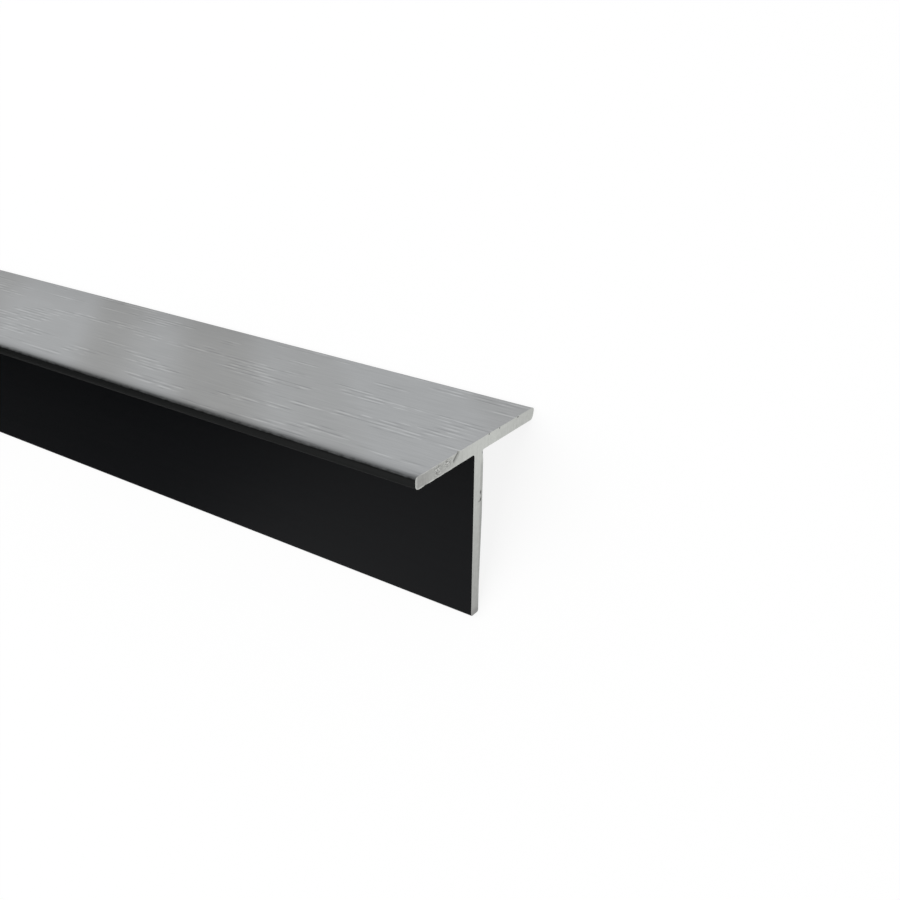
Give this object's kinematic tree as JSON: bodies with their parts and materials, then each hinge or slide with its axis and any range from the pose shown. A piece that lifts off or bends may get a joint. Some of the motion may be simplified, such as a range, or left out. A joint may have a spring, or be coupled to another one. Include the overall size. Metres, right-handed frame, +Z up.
{
  "type": "aluminium tee profile",
  "caption": "Straight extruded aluminium tee with a brushed flange face, black coated sides and square sawn ends, lying on its side.",
  "frame": {"origin": "centre of the floor area that the bar covers, on the floor, half way along its length", "axes": "+X along the bar, +Z up, -Y to the front, where the brushed flange face looks (forward and up)"},
  "size_m": [1, 0.0272, 0.0226],
  "materials": {
    "brushed_aluminium": "flange face brushed along the length, all other long faces coated satin black, ends bare as sawn"
  },
  "bodies": {
    "root": {"tee_bar": "brushed_aluminium"}
  },
  "joints": []
}
